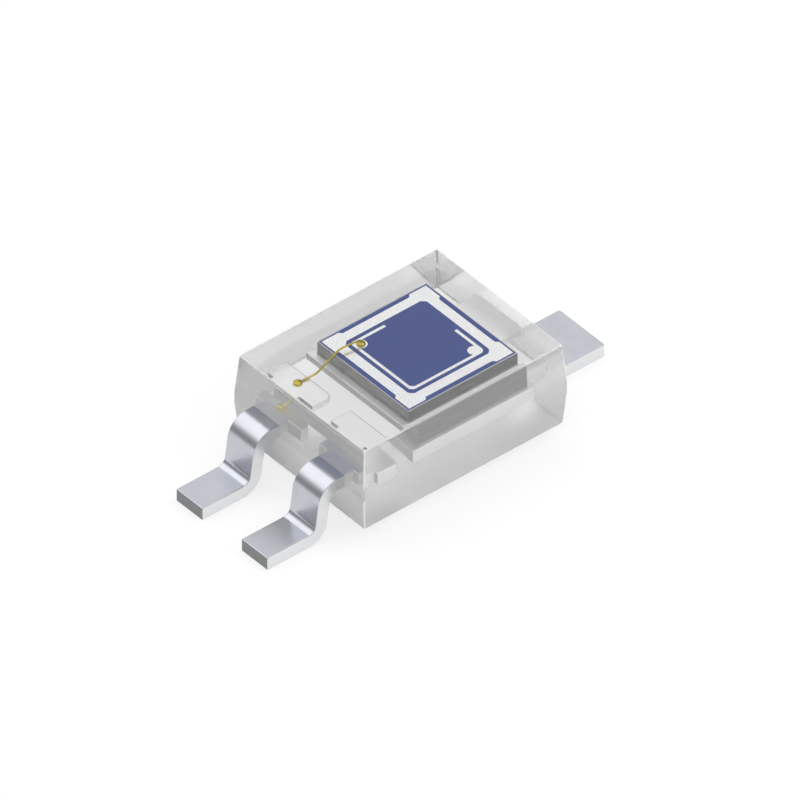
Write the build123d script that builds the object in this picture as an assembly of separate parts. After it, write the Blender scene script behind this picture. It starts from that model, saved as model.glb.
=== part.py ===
"""Clear surface-mount photodiode: lead frame, silicon chip, bond wire and moulded body.

+X runs from the two narrow leads to the wide tab and +Z comes out of the window face.
The feet stand on z = 0, and the origin is below the middle of the outline. Millimetres.
"""
import os
from math import cos, radians, tan

from build123d import *

# Moulded clear body
body_length = 2.62              # at the parting line
body_width = 2.00               # at the parting line
body_upper = 0.455              # lead frame's top face up to the window face
body_lower = 0.395              # lead frame's underside down to the body's underside
body_standoff = 0.145           # seating plane up to the body's underside
body_draft = 4.5                # degrees, above and below the parting band
body_corner_radius = 0.018      # has to be larger than the edge radius
body_edge_radius = 0.015

# Lead frame strip and its gull-wing bends
strip_thickness = 0.15
lead_width = 0.40
lead_pitch = 1.00
lead_reach = 0.99               # parting line out to the toe
tab_width = 0.70
tab_reach = 1.05                # parting line out to the toe
tab_offset = 0.03               # the tab and its die pad sit slightly off the middle
tab_corner_radius = 0.025
web_reach = 0.343               # parting line out to the web's outer face, at mid height
web_slant = 7.5                 # degrees from upright
shoulder_radius = 0.10          # inside of the upper bend
heel_radius = 0.095             # inside of the lower bend

# Inner ends of the narrow leads
pad_gap = 0.225                 # die pad to the narrow leads
pad_length = 0.255
bond_pad_outer_ear = 0.085
bond_pad_inner_ear = 0.200
spare_pad_outer_ear = 0.085
spare_pad_inner_ear = 0.125
pad_corner_radius = 0.06

# Silicon chip on its die pad
chip_size = 1.40
chip_thickness = 0.283
chip_offset = 0.215             # from the body's middle towards the tab
die_pad_front_margin = 0.085
die_pad_back_margin = 0.095
die_pad_side_margin = 0.045     # half the width that the die pad has over the chip
die_pad_front_radius = 0.015    # corners beside the narrow leads
die_pad_back_radius = 0.06      # corners beside the tab
glue_thickness = 0.012
glue_squeeze_out = 0.010        # beyond the chip, on the die pad
glue_climb = 0.020              # up the chip's side walls
glue_rim = 0.003                # width of the glue's upper rim

# Layers on the chip, with distances in from the chip's edge
film_inset = 0.012
film_thickness = 0.001
metal_thickness = 0.002
ring_ear_inset = 0.030
ring_side_inset = 0.064
ring_inner_inset = 0.178
ring_ear_length = 0.246
ring_ear_slope = 0.025
ring_inner_chamfer = 0.045
track_inset = 0.242             # to the track's middle
track_width = 0.034
track_chamfer = 0.036
track_far_stub = 0.667          # end of the stub beside the far side wall
track_tab_stub = 0.660          # end of the stub beside the tab
bond_spot_inset = 0.305
bond_spot_radius = 0.066

# Gold bond wire
wire_radius = 0.0125
ball_radius = 0.047
ball_foot_radius = 0.036        # its flat underside, pressed on the metal
ball_height = 0.034
ball_waist_height = 0.016       # its upright rim
ball_neck_height = 0.012        # cone from the ball up to the wire
loop_rise = 0.118               # above the bond spot
shoulder_drop = 0.010           # crest down to the wire's outer knee
shoulder_inset = 0.050          # outer knee to the chip's edge
landing_run = 0.225             # lower knee to the landing spot
landing_rise = 0.035            # lower knee above the lead
landing_setback = 0.135         # landing spot in from the bond pad's inner edge
landing_offset = -0.030         # landing spot off the lead's middle
loop_radii = [0.045, 0.090, 0.120]

# Places along X
overall_length = lead_reach + body_length + tab_reach
x_lead_face = lead_reach - overall_length / 2
x_tab_face = x_lead_face + body_length
x_body = (x_lead_face + x_tab_face) / 2
x_chip = x_body + chip_offset
x_chip_front = x_chip - chip_size / 2
x_die_pad_front = x_chip_front - die_pad_front_margin
x_die_pad_back = x_chip + chip_size / 2 + die_pad_back_margin
x_pad_back = x_die_pad_front - pad_gap
x_pad_front = x_pad_back - pad_length

# Places along Y
y_bond_lead = lead_pitch / 2
y_spare_lead = -lead_pitch / 2

# Levels
z_body_bottom = body_standoff
z_strip_bottom = z_body_bottom + body_lower
z_strip_top = z_strip_bottom + strip_thickness
z_body_top = z_strip_top + body_upper
z_chip_bottom = z_strip_top + glue_thickness
z_chip_top = z_chip_bottom + chip_thickness
z_film_top = z_chip_top + film_thickness
z_metal_top = z_film_top + metal_thickness


def gull_wing(x_face, outward, reach, width, y_middle, toe_radius=0.0):
    """Strip from the body's face, down the slanted web and out along the seating plane."""
    foot_top = strip_thickness
    z_middle = (z_strip_top + foot_top) / 2
    slope = tan(radians(web_slant))
    web_thickness = strip_thickness / cos(radians(web_slant))

    def web_x(z, depth):
        return x_face + outward * (web_reach - depth + slope * (z_middle - z))

    x_toe = x_face + outward * reach
    upper = FilletPolyline(
        (x_face, z_strip_top),
        (web_x(z_strip_top, 0), z_strip_top),
        (web_x(foot_top, 0), foot_top),
        (x_toe, foot_top),
        radius=[shoulder_radius + strip_thickness, heel_radius],
    )
    lower = FilletPolyline(
        (x_face, z_strip_bottom),
        (web_x(z_strip_bottom, web_thickness), z_strip_bottom),
        (web_x(0, web_thickness), 0),
        (x_toe, 0),
        radius=[shoulder_radius, heel_radius + strip_thickness],
    )
    toe = Line(upper @ 1, lower @ 1)
    face_end = Line(lower @ 0, upper @ 0)
    profile = Plane.XZ * make_face([upper, toe, lower, face_end])
    wing = Pos(0, y_middle, 0) * extrude(profile, width / 2, both=True)
    if toe_radius:
        toe_corners = wing.edges().filter_by(Axis.Z).group_by(Axis.X)[-1 if outward > 0 else 0]
        wing = fillet(toe_corners, toe_radius)
    return wing


def strip_plate(plan):
    """Flat part of the lead frame, punched to the given plan."""
    return extrude(Pos(0, 0, z_strip_bottom) * plan, strip_thickness)


def plan_block(x_low, x_high, y_low, y_high):
    middle = Pos((x_low + x_high) / 2, (y_low + y_high) / 2)
    return middle * Rectangle(x_high - x_low, y_high - y_low)


def narrow_lead(y_middle, pad):
    """Narrow lead: gull wing outside, neck through the body's face and a pad inside."""
    half = lead_width / 2
    neck = plan_block(x_lead_face, x_pad_front, y_middle - half, y_middle + half)
    wing = gull_wing(x_lead_face, -1, lead_reach, lead_width, y_middle)
    return strip_plate(neck + pad) + wing


def make_bond_lead():
    y_low = y_bond_lead - lead_width / 2 - bond_pad_inner_ear
    y_high = y_bond_lead + lead_width / 2 + bond_pad_outer_ear
    pad = plan_block(x_pad_front, x_pad_back, y_low, y_high)
    inner_corner = pad.vertices().group_by(Axis.X)[-1].sort_by(Axis.Y)[0]
    return narrow_lead(y_bond_lead, fillet(inner_corner, pad_corner_radius))


def make_spare_lead():
    y_low = y_spare_lead - lead_width / 2 - spare_pad_outer_ear
    y_high = y_spare_lead + lead_width / 2 + spare_pad_inner_ear
    return narrow_lead(y_spare_lead, plan_block(x_pad_front, x_pad_back, y_low, y_high))


def make_die_pad_lead():
    """Die pad, its wide neck and the wide tab, punched and bent from one strip."""
    y_low = tab_offset - chip_size / 2 - die_pad_side_margin
    y_high = tab_offset + chip_size / 2 + die_pad_side_margin
    die_pad = plan_block(x_die_pad_front, x_die_pad_back, y_low, y_high)
    die_pad = fillet(die_pad.vertices().group_by(Axis.X)[0], die_pad_front_radius)
    die_pad = fillet(die_pad.vertices().group_by(Axis.X)[-1], die_pad_back_radius)
    neck = plan_block(x_chip, x_tab_face, tab_offset - tab_width / 2, tab_offset + tab_width / 2)
    wing = gull_wing(x_tab_face, 1, tab_reach, tab_width, tab_offset, tab_corner_radius)
    return strip_plate(die_pad + neck) + wing


def chip_square(inset, chamfer_length=0.0):
    """Square on the chip, in from its edge by the inset, with its corners cut off."""
    square = Pos(x_chip, 0) * Rectangle(chip_size - 2 * inset, chip_size - 2 * inset)
    if chamfer_length:
        square = chamfer(square.vertices(), chamfer_length)
    return square


def make_chip():
    return extrude(Pos(0, 0, z_chip_bottom) * chip_square(0), chip_thickness)


def make_die_attach(chip):
    """Glue under the chip, squeezed out and drawn up its side walls."""
    base = Pos(0, 0, z_strip_top) * chip_square(-glue_squeeze_out)
    rim = Pos(0, 0, z_chip_bottom + glue_climb) * chip_square(-glue_rim)
    return loft([base, rim]) - chip


def make_film():
    return extrude(Pos(0, 0, z_chip_top) * chip_square(film_inset), film_thickness)


def make_guard_ring():
    """Metal ring along the chip's edge, wider at its corners than at its sides."""
    outer = chip_square(ring_ear_inset)
    edge = chip_size / 2 - ring_ear_inset
    side = chip_size / 2 - ring_side_inset
    half_recess = chip_size / 2 - ring_ear_length
    recess = make_face(Polyline(
        (edge, -half_recess),
        (side, -half_recess + ring_ear_slope),
        (side, half_recess - ring_ear_slope),
        (edge, half_recess),
        close=True,
    ))
    for turn in range(4):
        outer -= Pos(x_chip, 0) * Rot(0, 0, 90 * turn) * recess
    ring = outer - chip_square(ring_inner_inset, ring_inner_chamfer)
    return extrude(Pos(0, 0, z_film_top) * ring, metal_thickness)


def make_anode_track():
    """Open contact track inside the ring, with a round bond spot at two corners."""
    track = chip_square(track_inset - track_width / 2, track_chamfer)
    track -= chip_square(track_inset + track_width / 2, track_chamfer)
    half = chip_size / 2
    track -= plan_block(
        x_chip_front + track_far_stub, x_chip + half, track_tab_stub - half, half
    )
    spot = half - bond_spot_inset
    track += Pos(x_chip - spot, spot) * Circle(bond_spot_radius)
    track += Pos(x_chip + spot, -spot) * Circle(bond_spot_radius)
    return extrude(Pos(0, 0, z_film_top) * track, metal_thickness)


def squashed_ball(x, y, z_base):
    """Ball pressed flat between the metal and the bonding tool, with a cone up to the wire."""
    neck_top = ball_height + ball_neck_height
    waist_low = (ball_height - ball_waist_height) / 2
    outline = Polyline(
        (0, 0),
        (ball_foot_radius, 0),
        (ball_radius, waist_low),
        (ball_radius, waist_low + ball_waist_height),
        (ball_foot_radius, ball_height),
        (wire_radius, neck_top),
        (0, neck_top),
        close=True,
    )
    return Pos(x, y, z_base) * revolve(Plane.XZ * make_face(outline), Axis.Z)


def make_bond_wire():
    """Loop from the chip's bond spot over the chip's edge and down to the bond lead."""
    spot = chip_size / 2 - bond_spot_inset
    x_start = x_chip - spot
    y_start = spot
    x_end = x_pad_back - landing_setback
    y_end = y_bond_lead + landing_offset

    def at(x, z):
        share = (x_start - x) / (x_start - x_end)
        return (x, y_start + share * (y_end - y_start), z)

    crest = z_metal_top + loop_rise
    path = FilletPolyline(
        at(x_start, z_metal_top + ball_height / 2),
        at(x_start, crest),
        at(x_chip_front + shoulder_inset, crest - shoulder_drop),
        at(x_end + landing_run, z_strip_top + landing_rise),
        at(x_end, z_strip_top + ball_height / 2),
        radius=loop_radii,
    )
    section = Plane(origin=path @ 0, z_dir=path % 0) * Circle(wire_radius)
    wire = sweep(section, path=path)
    ball = squashed_ball(x_start, y_start, z_metal_top)
    stitch = squashed_ball(x_end, y_end, z_strip_top)
    return wire + ball + stitch


def body_plan(z, inset):
    plan = RectangleRounded(body_length - 2 * inset, body_width - 2 * inset, body_corner_radius)
    return Pos(x_body, 0, z) * plan


def make_clear_body(inner_pieces):
    """Clear moulding with a straight parting band, cast round everything inside it."""
    slope = tan(radians(body_draft))
    band = extrude(body_plan(z_strip_bottom, 0), strip_thickness)
    upper = loft([body_plan(z_strip_top, 0), body_plan(z_body_top, body_upper * slope)])
    lower = loft([body_plan(z_body_bottom, body_lower * slope), body_plan(z_strip_bottom, 0)])
    upper = fillet(upper.faces().sort_by(Axis.Z)[-1].edges(), body_edge_radius)
    lower = fillet(lower.faces().sort_by(Axis.Z)[0].edges(), body_edge_radius)
    moulding = band + upper + lower
    for piece in inner_pieces:
        moulding -= piece
    return moulding


bond_lead = make_bond_lead()
spare_lead = make_spare_lead()
die_pad_lead = make_die_pad_lead()
chip = make_chip()
die_attach = make_die_attach(chip)
film = make_film()
guard_ring = make_guard_ring()
anode_track = make_anode_track()
bond_wire = make_bond_wire()
clear_body = make_clear_body([
    bond_lead, spare_lead, die_pad_lead, die_attach, chip, film, guard_ring, anode_track, bond_wire,
])

nodes = {
    "clear_body": clear_body,
    "die_pad_lead": die_pad_lead,
    "bond_lead": bond_lead,
    "spare_lead": spare_lead,
    "die_attach": die_attach,
    "photodiode_chip": chip,
    "antireflection_film": film,
    "guard_ring": guard_ring,
    "anode_track": anode_track,
    "bond_wire": bond_wire,
}
os.makedirs("parts", exist_ok=True)
for name, shape in nodes.items():
    export_step(shape, f"parts/{name}.step")
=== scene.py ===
"""Looks of a clear surface-mount photodiode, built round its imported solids.

Lengths are in metres. MM turns the named sizes, which are in millimetres, into metres.
+X runs from the two narrow leads to the wide tab and +Z comes out of the window face.
"""

from math import cos, hypot, pi, radians, sin, tan

import bmesh
import bpy
from mathutils import Matrix, Vector


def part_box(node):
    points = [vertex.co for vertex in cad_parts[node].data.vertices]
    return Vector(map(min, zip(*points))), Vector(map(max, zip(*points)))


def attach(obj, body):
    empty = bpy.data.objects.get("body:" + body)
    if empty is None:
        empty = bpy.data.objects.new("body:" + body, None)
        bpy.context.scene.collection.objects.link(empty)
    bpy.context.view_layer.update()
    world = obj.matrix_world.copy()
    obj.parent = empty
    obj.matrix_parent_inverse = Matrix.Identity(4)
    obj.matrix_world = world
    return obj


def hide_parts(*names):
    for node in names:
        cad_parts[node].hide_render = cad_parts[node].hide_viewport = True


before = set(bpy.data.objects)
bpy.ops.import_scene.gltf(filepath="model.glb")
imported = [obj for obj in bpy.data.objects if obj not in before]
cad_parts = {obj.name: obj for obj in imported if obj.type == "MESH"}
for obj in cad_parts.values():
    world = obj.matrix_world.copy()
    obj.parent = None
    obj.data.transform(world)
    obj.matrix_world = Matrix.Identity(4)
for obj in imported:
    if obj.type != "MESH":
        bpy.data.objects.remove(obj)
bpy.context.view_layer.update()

MM = 0.001

# Lead frame strip
strip_thickness = 0.15 * MM
lead_width = 0.40 * MM
lead_pitch = 1.00 * MM
tab_width = 0.70 * MM
tab_offset = 0.03 * MM
tab_corner_radius = 0.025 * MM
web_reach = 0.343 * MM              # body's face out to the web's outer face, at mid height
web_slant = radians(7.5)            # from upright
shoulder_radius = 0.10 * MM         # inside of the upper bend
heel_radius = 0.095 * MM            # inside of the lower bend
pad_length = 0.255 * MM
pad_corner_radius = 0.06 * MM
die_pad_back_margin = 0.095 * MM    # die pad past the chip, towards the tab
die_pad_front_radius = 0.015 * MM
die_pad_back_radius = 0.06 * MM
punched_edge_round = 0.010 * MM
punched_edge_angle = radians(30)    # between two faces, from which their edge is rounded

# Clear body
body_draft = radians(4.5)
body_corner_radius = 0.018 * MM
body_edge_radius = 0.015 * MM

# Silicon chip and the glue round its foot
chip_edge_bevel = 0.007 * MM
glue_rim = 0.003 * MM

# Bond wire
wire_radius = 0.0125 * MM
ball_radius = 0.047 * MM
ball_foot_radius = 0.036 * MM
ball_height = 0.034 * MM
ball_crown_radius = ball_foot_radius * 0.72     # flat top, where the cone to the wire starts
ball_crown_height = ball_height * 1.02
ball_neck_radius = wire_radius * 1.25           # where that cone meets the wire
ball_neck_height = 0.012 * MM
bond_spot_inset = 0.305 * MM
loop_rise = 0.118 * MM
shoulder_drop = 0.010 * MM
shoulder_inset = 0.050 * MM
landing_run = 0.225 * MM
landing_rise = 0.035 * MM
landing_setback = 0.135 * MM
landing_offset = -0.030 * MM
loop_radii = (0.045 * MM, 0.090 * MM, 0.120 * MM)

# Smoothness of the meshes
bend_steps = 28
corner_steps = 10
ring_corner_steps = 6               # corners of the body's and the glue's outlines
edge_steps = 4
punched_edge_steps = 3
glue_steps = 6
wire_sides = 24
ball_sides = 64
widest_curved_face = 20 * body_edge_radius * body_edge_radius   # larger faces of the body are flat
cut_tolerance = 1e-9

# Slots of the materials on a lead, on the body and on the chip
PLATING, CUT_END_PAINTED_SHADE, SPOT_PLATING, CUT_SIDE_PAINTED_LIGHT, INNER_CUT = range(5)
SIDE, WINDOW, UNDERSIDE, RIM, LEADS_END, BACK, RIM_CORNER = range(7)
SAWN_WALL, BARE_RIM = range(2)

# Least part of a face's normal along an axis that tells the face from its neighbours
flat_part = 0.999                   # body's window and underside
past_draft = 0.1                    # more than the body's drafted walls lean
end_part = 0.9                      # body's end with the narrow leads
plated_part = 0.3                   # strip's flat faces, with most of their rounded edges

# The photograph's view: parallel, from the front left of the part
view_azimuth = radians(-40)
view_elevation = radians(40)
view_width = 7.882 * MM
view_target = Vector((0.1308, 0.2026, 0.2857)) * MM
view_distance = 40 * MM

# Key light
key_place = Vector((5, -9, 8)) * MM
key_size = 7 * MM
key_radiance = 1.4

# Surroundings, where 1 is white. Each patch is its direction, the cosines between which it
# comes up as a ray turns towards that direction, and its levels away from it and towards it.
dome = ((0, 0, 1), (0.25, 0.72), (0.36, 1.05))
front = ((0.4, -0.9, 0.0), (-0.9, 0.5), (0.92, 1.0))
added_patches = (
    ((-0.20, 0.58, 0.79), (0.84, 0.93), (0.0, 0.62)),   # card that the leads' bends mirror
    ((0.49, 0.59, 0.64), (0.86, 0.96), (0.0, 0.08)),    # card that the level faces mirror
    ((0, 0, -1), (0.0, 0.02), (0.0, 0.70)),             # below the horizon, under the floor
)

# Floor's paper: the share of light that it scatters and its own glow, where 1 is white
floor_half_width = 150 * MM
lighting_paper = (0.8, 0.0)         # for the light that it throws back on the part
seen_paper = (0.3, 0.72)            # for the camera, and for what metal and glass show of it

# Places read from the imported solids
body_low, body_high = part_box("clear_body")
chip_low, chip_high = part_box("photodiode_chip")
_, metal_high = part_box("guard_ring")
bond_low, bond_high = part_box("bond_lead")
spare_low, spare_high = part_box("spare_lead")
die_pad_low, die_pad_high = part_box("die_pad_lead")
glue_low, glue_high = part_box("die_attach")

z_strip_top = bond_high.z
z_strip_middle = z_strip_top - strip_thickness / 2
z_strip_bottom = z_strip_top - strip_thickness
x_chip = (chip_low.x + chip_high.x) / 2
chip_size = chip_high.x - chip_low.x
x_die_pad_back = chip_high.x + die_pad_back_margin


# Materials

class Surface:
    """A material with a Principled shader and the few node set-ups that the pieces share."""

    def __init__(self, name, **values):
        """Values are the shader's own constant sockets, with _ for each space."""
        self.material = bpy.data.materials.new(name)
        self.material.use_nodes = True
        self.nodes = self.material.node_tree.nodes
        self.links = self.material.node_tree.links
        self.shader = self.nodes["Principled BSDF"]
        for socket, value in values.items():
            self.shader.inputs[socket.replace("_", " ")].default_value = value
        coordinates = self.nodes.new("ShaderNodeTexCoord")
        self.millimetres = self.nodes.new("ShaderNodeVectorMath")
        self.millimetres.operation = "SCALE"
        self.millimetres.inputs["Scale"].default_value = 1 / MM
        self.links.new(coordinates.outputs["Object"], self.millimetres.inputs[0])

    def noise(self, scale, detail=3.0, roughness=0.55, stretch=(1, 1, 1)):
        """Noise from 0 to 1, with the given features a millimetre times each axis's stretch."""
        mapping = self.nodes.new("ShaderNodeMapping")
        mapping.inputs["Scale"].default_value = stretch
        self.links.new(self.millimetres.outputs[0], mapping.inputs["Vector"])
        node = self.nodes.new("ShaderNodeTexNoise")
        node.inputs["Scale"].default_value = scale
        node.inputs["Detail"].default_value = detail
        node.inputs["Roughness"].default_value = roughness
        self.links.new(mapping.outputs[0], node.inputs["Vector"])
        return node.outputs["Fac"]

    def colour(self, pattern, first, second, low=0.3, high=0.7):
        """Base colour that turns from the first to the second as a pattern rises."""
        node = self.nodes.new("ShaderNodeValToRGB")
        stops = ((low, first), (high, second))
        for element, (place, colour) in zip(node.color_ramp.elements, stops):
            element.position = place
            element.color = (*colour, 1)
        self.links.new(pattern, node.inputs["Fac"])
        self.links.new(node.outputs["Color"], self.shader.inputs["Base Color"])

    def roughness(self, pattern, first, second, low=0.0, high=1.0):
        """Roughness that goes from the first to the second as a pattern rises."""
        node = self.nodes.new("ShaderNodeMapRange")
        node.inputs["From Min"].default_value = low
        node.inputs["From Max"].default_value = high
        node.inputs["To Min"].default_value = first
        node.inputs["To Max"].default_value = second
        self.links.new(pattern, node.inputs["Value"])
        self.links.new(node.outputs["Result"], self.shader.inputs["Roughness"])

    def bump(self, pattern, depth):
        node = self.nodes.new("ShaderNodeBump")
        node.inputs["Distance"].default_value = depth
        self.links.new(pattern, node.inputs["Height"])
        self.links.new(node.outputs["Normal"], self.shader.inputs["Normal"])


def plated_strip_surface(name, duller, brighter, smoothest, roughest):
    """Plating with the faint lines that rolling leaves along the strip."""
    surface = Surface(name, Metallic=1.0)
    lines = surface.noise(1.0, detail=4.0, roughness=0.6, stretch=(6, 160, 160))
    clouds = surface.noise(5.0, detail=2.0)
    surface.colour(clouds, duller, brighter)
    surface.roughness(lines, smoothest, roughest)
    surface.bump(lines, 0.00008 * MM)
    return surface.material


def sheared_surface(name, duller, brighter, smoothest, roughest, tear_depth):
    """Edges that the punch sheared, with fine tears through the strip's thickness."""
    surface = Surface(name, Metallic=1.0)
    tears = surface.noise(1.0, detail=4.0, roughness=0.6, stretch=(60, 90, 14))
    surface.colour(tears, duller, brighter)
    surface.roughness(tears, smoothest, roughest)
    surface.bump(tears, tear_depth)
    return surface.material


def silicon_surface():
    """Sawn side walls, with fine level marks of the blade."""
    surface = Surface("sawn_silicon")
    marks = surface.noise(1.0, detail=4.0, roughness=0.65, stretch=(5, 5, 120))
    surface.colour(marks, (0.14, 0.15, 0.14), (0.19, 0.20, 0.19))
    surface.roughness(marks, 0.22, 0.32)
    surface.bump(marks, 0.001 * MM)
    return surface.material


def bare_rim_surface():
    """Narrow bare rim between the film and the saw cut, with its fine chipping."""
    surface = Surface("bare_rim", Metallic=0.6)
    chips = surface.noise(110.0, roughness=0.65)
    surface.colour(chips, (0.52, 0.54, 0.55), (0.70, 0.72, 0.73))
    surface.roughness(chips, 0.35, 0.5)
    surface.bump(chips, 0.0006 * MM)
    return surface.material


def film_surface():
    """Deep blue film, a little more violet where it is thinner."""
    surface = Surface("blue_film", IOR=1.25)
    clouds = surface.noise(0.9, detail=2.0)
    surface.colour(clouds, (0.050, 0.098, 0.38), (0.056, 0.094, 0.38), low=0.35, high=0.65)
    grain = surface.noise(90.0, detail=2.0)
    surface.roughness(grain, 0.16, 0.2)
    return surface.material


def chip_metal_surface():
    """Deposited aluminium with its fine grain."""
    surface = Surface("chip_metal", Metallic=1.0)
    grain = surface.noise(140.0)
    surface.colour(grain, (0.92, 0.93, 0.93), (0.96, 0.97, 0.97))
    surface.roughness(grain, 0.24, 0.30)
    surface.bump(grain, 0.00008 * MM)
    return surface.material


def glue_surface():
    """Silver-filled glue with flakes in it."""
    surface = Surface("silver_glue", Metallic=0.6)
    flakes = surface.noise(70.0, roughness=0.7)
    surface.colour(flakes, (0.34, 0.34, 0.33), (0.50, 0.50, 0.49), low=0.35, high=0.65)
    surface.roughness(flakes, 0.6, 0.4)
    surface.bump(flakes, 0.003 * MM)
    return surface.material


def gold_surface():
    """Drawn gold wire with faint die lines."""
    surface = Surface("gold", Metallic=1.0)
    lines = surface.noise(60.0)
    surface.colour(lines, (0.58, 0.45, 0.028), (0.74, 0.60, 0.060))
    surface.roughness(lines, 0.24, 0.36)
    surface.bump(lines, 0.0008 * MM)
    return surface.material


def clear_epoxy_surface(name, smoothest, roughest, clarity):
    """Clear moulding compound, with the finish of the part of the mould that shaped it."""
    surface = Surface(name, IOR=1.5, Transmission_Weight=clarity)
    clouds = surface.noise(2.0, detail=2.0)
    surface.colour(clouds, (0.970, 0.972, 0.972), (0.985, 0.985, 0.985))
    surface.roughness(clouds, smoothest, roughest, low=0.3, high=0.7)
    return surface.material


# Mesh helpers

def piece_from(name, mesh_maker, nodes, materials):
    """Object made from a bmesh, riding on the part and standing for its CAD nodes."""
    mesh = bpy.data.meshes.new(name)
    mesh_maker.to_mesh(mesh)
    mesh_maker.free()
    for material in materials:
        mesh.materials.append(material)
    piece = bpy.data.objects.new(name, mesh)
    bpy.context.scene.collection.objects.link(piece)
    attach(piece, "root")
    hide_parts(*nodes)
    return piece


def even_normals(piece):
    """Normals weighted by area, so that a wide face stays flat beside its eased edges."""
    mesh = piece.data
    normals = [Vector() for _ in mesh.vertices]
    for face in mesh.polygons:
        for index in face.vertices:
            normals[index] += face.normal * (face.area / MM ** 2)
    mesh.normals_split_custom_set_from_vertices([normal.normalized() for normal in normals])
    return piece


def rounded_outline(corners, steps=corner_steps):
    """Closed outline through (x, y, radius) corners, each rounded by its radius."""
    points = []
    for index, (x, y, radius) in enumerate(corners):
        corner = Vector((x, y))
        if not radius:
            points.append(corner)
            continue
        before = (Vector(corners[index - 1][:2]) - corner).normalized()
        after = (Vector(corners[(index + 1) % len(corners)][:2]) - corner).normalized()
        half = before.angle(after) / 2
        centre = corner + (before + after).normalized() * radius / sin(half)
        start = corner + before * radius / tan(half) - centre
        turn = start.angle_signed(corner + after * radius / tan(half) - centre)
        for step in range(steps + 1):
            swing = Matrix.Rotation(-turn * step / steps, 2)
            points.append(centre + swing @ start)
    return points


def inset_ring(low, high, inset, z, radius=0.0):
    """Outline of a box seen from above, set in from its sides, at one level."""
    x_low, x_high = low.x + inset, high.x - inset
    y_low, y_high = low.y + inset, high.y - inset
    corners = [
        (x_low, y_low, radius), (x_high, y_low, radius),
        (x_high, y_high, radius), (x_low, y_high, radius),
    ]
    return [(p.x, p.y, z) for p in rounded_outline(corners, steps=ring_corner_steps)]


def rings_to_solid(maker, rings):
    """Closed solid from rings of as many points each, bottom one first, with flat ends."""
    loops = [[maker.verts.new(point) for point in ring] for ring in rings]
    for lower, upper in zip(loops, loops[1:]):
        count = len(lower)
        for index in range(count):
            after = (index + 1) % count
            maker.faces.new((lower[index], lower[after], upper[after], upper[index]))
    maker.faces.new(reversed(loops[0]))
    maker.faces.new(loops[-1])


# Lead frame

class GullWing:
    """Middle line of a lead: flat from the body, down the web and out along the seating plane."""

    def __init__(self, x_face, outward, reach):
        self.x_face = x_face
        self.outward = outward
        turn = pi / 2 - web_slant
        z_foot = strip_thickness / 2
        z_half_way = (z_strip_top + strip_thickness) / 2
        half_web = strip_thickness / cos(web_slant) / 2

        def web_middle(z):
            return web_reach - half_web + tan(web_slant) * (z_half_way - z)

        knee = web_middle(z_strip_middle)
        heel = web_middle(z_foot)
        self.radii = (shoulder_radius + strip_thickness / 2, heel_radius + strip_thickness / 2)
        shorten = [radius * tan(turn / 2) for radius in self.radii]
        web = hypot(heel - knee, z_strip_middle - z_foot) - sum(shorten)
        self.stretches = (
            knee - shorten[0],
            self.radii[0] * turn,
            web,
            self.radii[1] * turn,
            reach - heel - shorten[1],
        )
        self.length = sum(self.stretches)

    def at(self, run, y, height):
        """Where a point of the flat blank comes to lie once the lead is bent."""
        flat, shoulder, web, heel, _ = self.stretches
        out, drop, pitch = min(run, flat), 0.0, 0.0
        rest = run - flat
        if rest > 0:
            radius = self.radii[0]
            pitch = min(rest, shoulder) / radius
            out += radius * sin(pitch)
            drop += radius * (1 - cos(pitch))
            rest -= shoulder
        if rest > 0:
            out += min(rest, web) * cos(pitch)
            drop += min(rest, web) * sin(pitch)
            rest -= web
        if rest > 0:
            radius = self.radii[1]
            begin = pitch
            pitch = begin - min(rest, heel) / radius
            out += radius * (sin(begin) - sin(pitch))
            drop += radius * (cos(pitch) - cos(begin))
            rest -= heel
        if rest > 0:
            out += rest
        out += height * sin(pitch)
        z = z_strip_middle - drop + height * cos(pitch)
        return Vector((self.x_face + self.outward * out, y, z))

    def cuts(self):
        """Runs at which the blank is divided: at the body's face, and along its bends."""
        flat, shoulder, web, heel, _ = self.stretches
        shoulder_cuts = [flat + shoulder * step / bend_steps for step in range(bend_steps + 1)]
        start = flat + shoulder + web
        heel_cuts = [start + heel * step / bend_steps for step in range(bend_steps + 1)]
        return [0.0] + shoulder_cuts + heel_cuts


def finish_of_blank_face(face):
    """Slot of a flat blank's face. The blank's run starts at the body's face."""
    inside = face.calc_center_median().x < 0
    crosswise = abs(face.normal.x) > abs(face.normal.y)
    if abs(face.normal.z) > plated_part or (inside and not crosswise):
        return SPOT_PLATING if inside else PLATING
    if inside:
        return INNER_CUT
    # Cut ends get the metal with painted shade, and the outer sides the one with painted light.
    return CUT_END_PAINTED_SHADE if crosswise else CUT_SIDE_PAINTED_LIGHT


def punched_lead(name, node, wing, corners, materials):
    """Lead made as the real one is: punched flat from strip, edges eased, then bent."""
    maker = bmesh.new()
    half = strip_thickness / 2
    outline = rounded_outline(corners)
    rings_to_solid(maker, [[(p.x, p.y, z) for p in outline] for z in (-half, half)])
    bmesh.ops.recalc_face_normals(maker, faces=maker.faces)
    sharp = [edge for edge in maker.edges if edge.calc_face_angle() > punched_edge_angle]
    bmesh.ops.bevel(
        maker, geom=sharp, offset=punched_edge_round, segments=punched_edge_steps, profile=0.5,
        affect="EDGES", clamp_overlap=True,
    )
    for run in wing.cuts():
        everything = maker.verts[:] + maker.edges[:] + maker.faces[:]
        bmesh.ops.bisect_plane(
            maker, geom=everything, dist=cut_tolerance, plane_co=(run, 0, 0), plane_no=(1, 0, 0)
        )
    for face in maker.faces:
        face.smooth = True
        face.material_index = finish_of_blank_face(face)
    for vertex in maker.verts:
        vertex.co = wing.at(*vertex.co)
    bmesh.ops.recalc_face_normals(maker, faces=maker.faces)
    return even_normals(piece_from(name, maker, [node], materials))


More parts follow.
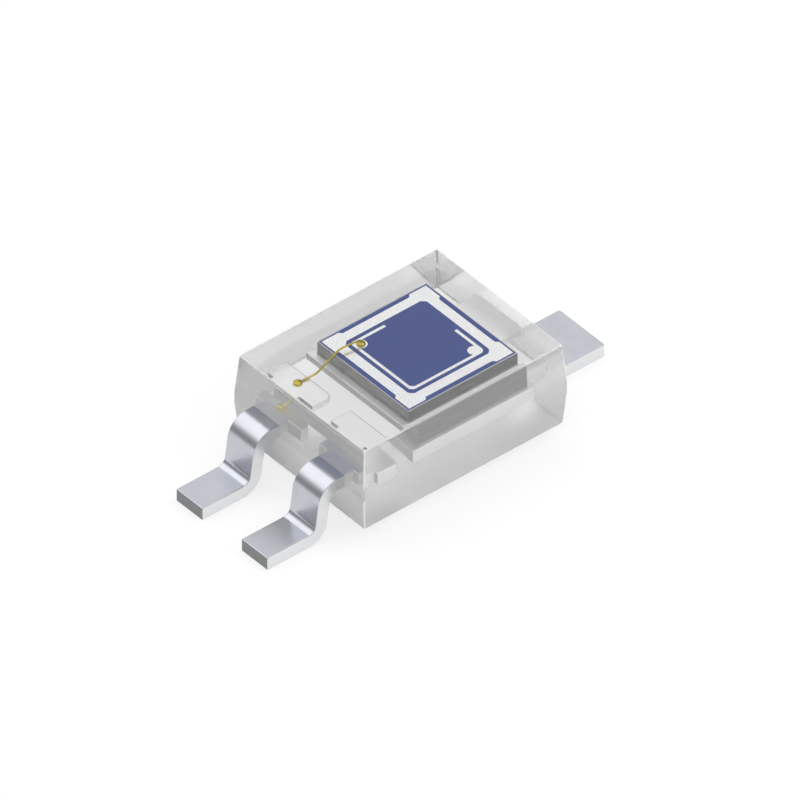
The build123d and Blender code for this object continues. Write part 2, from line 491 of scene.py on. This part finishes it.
def narrow_lead(name, node, low, high, y_middle, inner_corner_radius, materials):
    """Narrow lead, with its blank's outline from the toe back to the pad inside the body."""
    wing = GullWing(body_low.x, -1, body_low.x - low.x)
    toe = wing.length
    side = lead_width / 2
    pad_back = body_low.x - high.x
    pad_front = pad_back + pad_length
    corners = [
        (toe, y_middle - side, 0),
        (toe, y_middle + side, 0),
        (pad_front, y_middle + side, 0),
        (pad_front, high.y, 0),
        (pad_back, high.y, 0),
        (pad_back, low.y, inner_corner_radius),
        (pad_front, low.y, 0),
        (pad_front, y_middle - side, 0),
    ]
    return punched_lead(name, node, wing, corners, materials)


def die_pad_lead(materials):
    """Die pad, its neck and the wide tab, cut from one strip."""
    wing = GullWing(body_high.x, 1, die_pad_high.x - body_high.x)
    toe = wing.length
    y_low = tab_offset - tab_width / 2
    y_high = tab_offset + tab_width / 2
    front = die_pad_low.x - body_high.x
    back = x_die_pad_back - body_high.x
    corners = [
        (toe, y_low, tab_corner_radius),
        (toe, y_high, tab_corner_radius),
        (back, y_high, 0),
        (back, die_pad_high.y, die_pad_back_radius),
        (front, die_pad_high.y, die_pad_front_radius),
        (front, die_pad_low.y, die_pad_front_radius),
        (back, die_pad_low.y, die_pad_back_radius),
        (back, y_low, 0),
    ]
    return punched_lead("cathode_lead", "die_pad_lead", wing, corners, materials)


# Clear body

def eased_rim(height, z_end, side):
    """(z, inset) of the levels round a rounded rim, from the drafted wall to the flat face."""
    run = height * tan(body_draft)
    back = body_edge_radius * tan((pi / 2 - body_draft) / 2)
    levels = []
    for step in range(edge_steps + 1):
        angle = body_draft + (pi / 2 - body_draft) * step / edge_steps
        inset = run + back - body_edge_radius * cos(angle)
        z = z_end - side * body_edge_radius * (1 - sin(angle))
        levels.append((z, inset))
    return levels


def finish_of_body_face(face):
    x, y, z = face.normal
    if abs(z) > flat_part:
        return WINDOW if z > 0 else UNDERSIDE
    if abs(z) > past_draft:
        return RIM_CORNER if min(abs(x), abs(y)) > past_draft else RIM
    if x < -end_part:
        return LEADS_END
    return BACK if max(x, y) > past_draft else SIDE


def clear_body(materials):
    """Moulding's outer skin. What it is cast round stays inside it as pieces of their own."""
    upper = eased_rim(body_high.z - z_strip_top, body_high.z, 1)
    lower = eased_rim(z_strip_bottom - body_low.z, body_low.z, -1)
    levels = [*reversed(lower), (z_strip_bottom, 0.0), (z_strip_top, 0.0), *upper]
    maker = bmesh.new()
    rings_to_solid(maker, [
        inset_ring(body_low, body_high, inset, z, body_corner_radius) for z, inset in levels
    ])
    bmesh.ops.recalc_face_normals(maker, faces=maker.faces)
    for face in maker.faces:
        face.smooth = face.calc_area() < widest_curved_face
        face.material_index = finish_of_body_face(face)
    return even_normals(
        piece_from("clear_moulding", maker, ["clear_body"], materials)
    )


# Chip and glue

def silicon_die(materials):
    """Sawn die with the slight bevel that dicing leaves round its face."""
    maker = bmesh.new()
    levels = (
        (chip_low.z, 0.0),
        (chip_high.z - chip_edge_bevel, 0.0),
        (chip_high.z, chip_edge_bevel),
    )
    rings_to_solid(maker, [inset_ring(chip_low, chip_high, inset, z) for z, inset in levels])
    bmesh.ops.recalc_face_normals(maker, faces=maker.faces)
    for face in maker.faces:
        face.material_index = BARE_RIM if face.normal.z > past_draft else SAWN_WALL
    return piece_from("silicon_die", maker, ["photodiode_chip"], materials)


def glue_fillet(material):
    """Glue squeezed out round the die's foot and drawn up its walls in a hollow curve."""
    maker = bmesh.new()
    reach = chip_low.x - glue_low.x
    rings = []
    for step in range(glue_steps + 1):
        angle = pi / 2 * step / glue_steps
        left = reach - (reach - glue_rim) * sin(angle)
        climb = (glue_high.z - glue_low.z) * (1 - cos(angle))
        rings.append(inset_ring(
            glue_low, glue_high, reach - left, glue_low.z + climb, glue_rim + left
        ))
    rings_to_solid(maker, rings)
    bmesh.ops.recalc_face_normals(maker, faces=maker.faces)
    for face in maker.faces:
        face.smooth = True
    return piece_from("glue_fillet", maker, ["die_attach"], [material])


# Bond wire

def wire_route():
    """Points along the wire's middle, with each knee rounded by its own radius."""
    spot = chip_size / 2 - bond_spot_inset
    start = Vector((x_chip - spot, spot, metal_high.z + ball_height / 2))
    end = Vector((
        bond_high.x - landing_setback, lead_pitch / 2 + landing_offset,
        z_strip_top + ball_height / 2,
    ))
    crest = metal_high.z + loop_rise

    def over(x, z):
        share = (start.x - x) / (start.x - end.x)
        return Vector((x, start.y + share * (end.y - start.y), z))

    knees = [
        start,
        over(start.x, crest),
        over(chip_low.x + shoulder_inset, crest - shoulder_drop),
        over(end.x + landing_run, z_strip_top + landing_rise),
        end,
    ]
    route = [knees[0]]
    for index, radius in enumerate(loop_radii):
        corner = knees[index + 1]
        before = (knees[index] - corner).normalized()
        after = (knees[index + 2] - corner).normalized()
        half = before.angle(after) / 2
        centre = corner + (before + after).normalized() * radius / sin(half)
        start_arm = corner + before * radius / tan(half) - centre
        axis = before.cross(after).normalized()
        turn = pi - 2 * half
        for step in range(corner_steps + 1):
            swing = Matrix.Rotation(-turn * step / corner_steps, 3, axis)
            route.append(centre + swing @ start_arm)
    route.append(knees[-1])
    return route


def pressed_ball(maker, x, y, z_base):
    """Ball pressed by the bonding tool: bulged side, flat shoulder and a cone up to the wire."""
    profile = [(ball_foot_radius, 0.0)]
    bulge = ball_radius - ball_foot_radius
    for step in range(1, 2 * edge_steps):
        angle = -pi / 2 + pi * step / (2 * edge_steps)
        out = ball_foot_radius + bulge * cos(angle)
        profile.append((out, ball_height / 2 * (1 + sin(angle))))
    profile.append((ball_foot_radius, ball_height))
    profile.append((ball_crown_radius, ball_crown_height))
    profile.append((ball_neck_radius, ball_height + ball_neck_height))
    rings = []
    for out, up in profile:
        ring = []
        for side in range(ball_sides):
            angle = 2 * pi * side / ball_sides
            ring.append((x + out * cos(angle), y + out * sin(angle), z_base + up))
        rings.append(ring)
    rings_to_solid(maker, rings)


def bond_wire(material):
    """Round wire along its route, with a pressed ball at each end."""
    route = wire_route()
    maker = bmesh.new()
    rings = []
    across = Vector((0, 1, 0))
    for index, point in enumerate(route):
        ahead = route[min(index + 1, len(route) - 1)] - route[max(index - 1, 0)]
        along = ahead.normalized()
        side = (across - along * across.dot(along)).normalized()
        up = along.cross(side)
        ring = []
        for step in range(wire_sides):
            angle = 2 * pi * step / wire_sides
            ring.append(point + wire_radius * (side * cos(angle) + up * sin(angle)))
        rings.append(ring)
    rings_to_solid(maker, rings)
    pressed_ball(maker, route[0].x, route[0].y, metal_high.z)
    pressed_ball(maker, route[-1].x, route[-1].y, z_strip_top)
    bmesh.ops.recalc_face_normals(maker, faces=maker.faces)
    for face in maker.faces:
        face.smooth = len(face.verts) == 4
    return piece_from("gold_wire", maker, ["bond_wire"], [material])


# Camera, light and floor

def add_camera():
    """Camera at the photograph's angle and width."""
    back = Vector((
        sin(view_azimuth) * cos(view_elevation),
        -cos(view_azimuth) * cos(view_elevation),
        sin(view_elevation),
    ))
    data = bpy.data.cameras.new("camera")
    data.type = "ORTHO"
    data.ortho_scale = view_width
    data.clip_start = view_distance / 100
    data.clip_end = view_distance * 10
    camera = bpy.data.objects.new("camera", data)
    camera.location = view_target + back * view_distance
    camera.rotation_mode = "QUATERNION"
    camera.rotation_quaternion = back.to_track_quat("Z", "Y")
    bpy.context.scene.collection.objects.link(camera)
    bpy.context.scene.camera = camera


def add_softbox(name, place, size, radiance):
    """Square area lamp that points at the part's middle."""
    data = bpy.data.lights.new(name, "AREA")
    data.size = size
    data.energy = radiance * pi * size * size
    lamp = bpy.data.objects.new(name, data)
    lamp.location = place
    lamp.rotation_mode = "QUATERNION"
    lamp.rotation_quaternion = (place - view_target).to_track_quat("Z", "Y")
    bpy.context.scene.collection.objects.link(lamp)


def joined(tree, operation, first, second):
    """Two sockets joined by a Math node."""
    node = tree.nodes.new("ShaderNodeMath")
    node.operation = operation
    tree.links.new(first, node.inputs[0])
    tree.links.new(second, node.inputs[1])
    return node.outputs[0]


def add_world():
    """Studio surroundings: dim low down, with two white cards overhead behind the part.

    Below the horizon, where only rays that start under the floor look, it is as white as the
    floor.
    """
    world = bpy.data.worlds.new("studio")
    bpy.context.scene.world = world
    world.use_nodes = True
    tree = world.node_tree
    coordinates = tree.nodes.new("ShaderNodeTexCoord")

    def patch(direction, turns, levels):
        """Level of one patch, smooth between its turns."""
        turned = tree.nodes.new("ShaderNodeVectorMath")
        turned.operation = "DOT_PRODUCT"
        turned.inputs[1].default_value = Vector(direction).normalized()
        tree.links.new(coordinates.outputs["Generated"], turned.inputs[0])
        level = tree.nodes.new("ShaderNodeMapRange")
        level.interpolation_type = "SMOOTHSTEP"
        for socket, value in zip(level.inputs[1:5], (*turns, *levels)):
            socket.default_value = value
        tree.links.new(turned.outputs["Value"], level.inputs["Value"])
        return level.outputs["Result"]

    level = joined(tree, "MULTIPLY", patch(*dome), patch(*front))
    for added in added_patches:
        level = joined(tree, "ADD", level, patch(*added))
    light = tree.nodes["Background"]
    light.inputs["Color"].default_value = (1, 1, 1, 1)
    tree.links.new(level, light.inputs["Strength"])


def floor_material():
    """Plain white paper. What looks at it sees it glow, and it still keeps the shadow."""
    material = bpy.data.materials.new("floor")
    material.use_nodes = True
    tree = material.node_tree
    nodes, links = tree.nodes, tree.links
    nodes.clear()

    def paper(scattered, glowing):
        diffuse = nodes.new("ShaderNodeBsdfDiffuse")
        diffuse.inputs["Color"].default_value = (scattered, scattered, scattered, 1)
        glow = nodes.new("ShaderNodeEmission")
        glow.inputs["Strength"].default_value = glowing
        both = nodes.new("ShaderNodeAddShader")
        links.new(diffuse.outputs[0], both.inputs[0])
        links.new(glow.outputs[0], both.inputs[1])
        return both.outputs[0]

    path = nodes.new("ShaderNodeLightPath").outputs
    looked_at = joined(tree, "MAXIMUM", path["Is Camera Ray"], path["Is Glossy Ray"])
    looked_at = joined(tree, "MAXIMUM", looked_at, path["Is Transmission Ray"])
    mix = nodes.new("ShaderNodeMixShader")
    links.new(looked_at, mix.inputs["Fac"])
    links.new(paper(*lighting_paper), mix.inputs[1])
    links.new(paper(*seen_paper), mix.inputs[2])
    out = nodes.new("ShaderNodeOutputMaterial")
    links.new(mix.outputs[0], out.inputs["Surface"])
    return material


def add_floor():
    half = floor_half_width
    maker = bmesh.new()
    corners = [(-half, -half, 0), (half, -half, 0), (half, half, 0), (-half, half, 0)]
    maker.faces.new([maker.verts.new(corner) for corner in corners])
    mesh = bpy.data.meshes.new("floor")
    maker.to_mesh(mesh)
    maker.free()
    mesh.materials.append(floor_material())
    floor = bpy.data.objects.new("floor", mesh)
    bpy.context.scene.collection.objects.link(floor)


# The pieces, each list of materials in the order of its slots

metals = [
    plated_strip_surface("plated_strip", (0.53, 0.545, 0.59), (0.57, 0.585, 0.635), 0.22, 0.30),
    # Painted shade: the dark grey of the cut ends stands in for the contact shadow that the toes
    # mirror. Their fine tears are real.
    sheared_surface("cut_end_painted_shade", (0.20, 0.21, 0.21), (0.29, 0.30, 0.30), 0.38, 0.55, 0.0015 * MM),
    plated_strip_surface("spot_plating", (0.95, 0.95, 0.95), (0.98, 0.98, 0.98), 0.34, 0.42),
    # Painted light: the sheared sides are made brighter than the rolled faces to stand in for the
    # bright floor that they mirror. Their fine tears are real.
    sheared_surface("cut_side_painted_light", (0.74, 0.75, 0.76), (0.80, 0.81, 0.82), 0.25, 0.35, 0.0004 * MM),
    sheared_surface("inner_cut", (0.42, 0.42, 0.42), (0.54, 0.54, 0.54), 0.30, 0.42, 0.0008 * MM),
]
narrow_lead(
    "anode_lead", "bond_lead", bond_low, bond_high, lead_pitch / 2, pad_corner_radius, metals
)
narrow_lead("unused_lead", "spare_lead", spare_low, spare_high, -lead_pitch / 2, 0, metals)
die_pad_lead(metals)
clear_body([
    clear_epoxy_surface("epoxy_side", 0.14, 0.18, clarity=0.80),
    clear_epoxy_surface("epoxy_window", 0.01, 0.03, clarity=1.0),
    clear_epoxy_surface("epoxy_underside", 0.36, 0.42, clarity=0.92),
    clear_epoxy_surface("epoxy_edge", 0.35, 0.45, clarity=0.5),
    clear_epoxy_surface("epoxy_end", 0.04, 0.07, clarity=0.76),
    clear_epoxy_surface("epoxy_back", 0.12, 0.16, clarity=0.82),
    clear_epoxy_surface("epoxy_corner", 0.35, 0.45, clarity=0.0),
])
silicon_die([silicon_surface(), bare_rim_surface()])
glue_fillet(glue_surface())
bond_wire(gold_surface())

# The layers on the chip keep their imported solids
film = film_surface()
chip_metal = chip_metal_surface()
for node, material in (
    ("antireflection_film", film), ("guard_ring", chip_metal), ("anode_track", chip_metal),
):
    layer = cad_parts[node]
    layer.data.materials.clear()
    layer.data.materials.append(material)

add_camera()
add_world()
add_floor()
add_softbox("key", key_place, key_size, key_radiance)
bpy.context.scene.view_settings.view_transform = "Standard"
